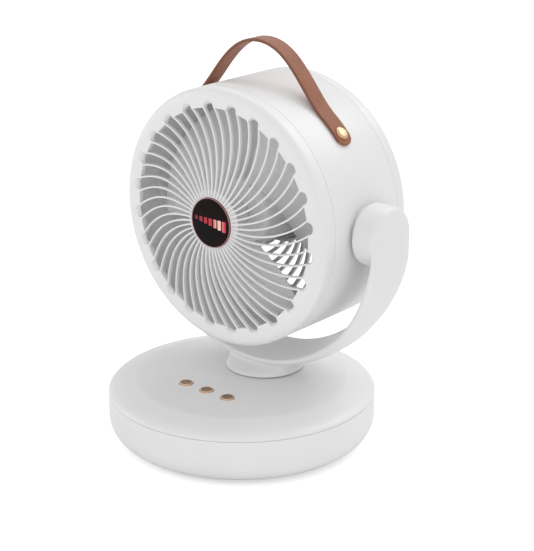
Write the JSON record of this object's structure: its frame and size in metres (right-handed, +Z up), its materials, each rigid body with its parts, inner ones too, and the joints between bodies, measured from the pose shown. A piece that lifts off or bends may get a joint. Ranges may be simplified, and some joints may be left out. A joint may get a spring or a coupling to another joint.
{
  "type": "air circulator fan",
  "caption": "Desktop air circulator with a round base, U-shaped swinging yoke, tilting drum head, spiral grille and strap handle.",
  "frame": {"origin": "middle of the base at the height where its feet stand", "axes": "+Z up, the fan blows towards -Y, +X is on the right of someone facing the fan's front"},
  "size_m": [0.254, 0.21, 0.3126],
  "materials": {
    "white_plastic": "satin moulded",
    "pale_plastic": "satin moulded",
    "dark_plastic": "matt moulded",
    "black_gloss": "polished",
    "rose_ring": "metallised ring",
    "copper": "brushed copper colour",
    "brass": "polished",
    "strap_leather": "smooth",
    "rubber": "matt",
    "steel": "plated",
    "iron": "painted",
    "nylon": "natural nylon",
    "board": "solder mask"
  },
  "bodies": {
    "base": {"base_lower_shell": "white_plastic", "base_top_cover": "white_plastic", "ballast_plate": "iron", "rubber_foot_1": "rubber", "rubber_foot_2": "rubber", "rubber_foot_3": "rubber", "rubber_foot_4": "rubber", "base_screw_1": "steel", "base_screw_2": "steel", "base_screw_3": "steel", "base_screw_4": "steel", "tact_switch_1": "dark_plastic", "tact_switch_2": "dark_plastic", "tact_switch_3": "dark_plastic", "control_board": "board", "board_screw_left": "steel", "board_screw_right": "steel", "dc_inlet": "dark_plastic", "swing_motor": "steel", "thrust_ring": "nylon"},
    "button_1": {"button_1": "copper"},
    "button_2": {"button_2": "copper"},
    "button_3": {"button_3": "copper"},
    "pinion": {"drive_pinion": "nylon", "swing_shaft": "steel"},
    "yoke": {"swivel_column": "white_plastic", "swing_gear": "nylon", "gear_clip": "steel", "yoke_outer": "white_plastic", "yoke_inner_cover": "white_plastic", "tilt_washer_left": "nylon", "tilt_washer_right": "nylon"},
    "head": {"drum_shell": "white_plastic", "front_grille": "white_plastic", "badge_disc": "black_gloss", "badge_ring": "rose_ring", "rear_grille": "white_plastic", "fan_motor": "steel", "strap_handle": "strap_leather", "strap_rivet_left": "brass", "strap_rivet_right": "brass", "tilt_pin_left": "steel", "tilt_pin_right": "steel", "tilt_nut_left": "steel", "tilt_nut_right": "steel"},
    "fan": {"impeller": "pale_plastic", "motor_shaft": "steel", "spinner_nut": "dark_plastic"}
  },
  "joints": [
    {"name": "yoke_swing", "type": "hinge", "parent": "base", "child": "yoke", "pos_m": [0, 0.028, 0.0485], "axis": [0, 0, 1], "range_deg": [-40, 40]},
    {"name": "pinion_turn", "type": "hinge", "parent": "base", "child": "pinion", "pos_m": [-0.034, 0.028, 0.04], "axis": [0, 0, 1], "range_deg": [-96, 96]},
    {"name": "head_tilt", "type": "hinge", "parent": "yoke", "child": "head", "pos_m": [0, 0.028, 0.182], "axis": [-1, 0, 0], "range_deg": [-20, 90]},
    {"name": "fan_spin", "type": "hinge", "parent": "head", "child": "fan", "pos_m": [0, 0.028, 0.182], "axis": [0, -1, 0], "continuous": true},
    {"name": "button_1_press", "type": "slide", "parent": "base", "child": "button_1", "axis": [0, 0, -1], "range_m": [0, 0.0008], "stiffness_N_per_m": 600, "springref_m": -0.0004},
    {"name": "button_2_press", "type": "slide", "parent": "base", "child": "button_2", "axis": [0, 0, -1], "range_m": [0, 0.0008], "stiffness_N_per_m": 600, "springref_m": -0.0004},
    {"name": "button_3_press", "type": "slide", "parent": "base", "child": "button_3", "axis": [0, 0, -1], "range_m": [0, 0.0008], "stiffness_N_per_m": 600, "springref_m": -0.0004}
  ],
  "couplings": [
    {"joint": "pinion_turn", "follows": "yoke_swing", "ratio": -2.4}
  ]
}
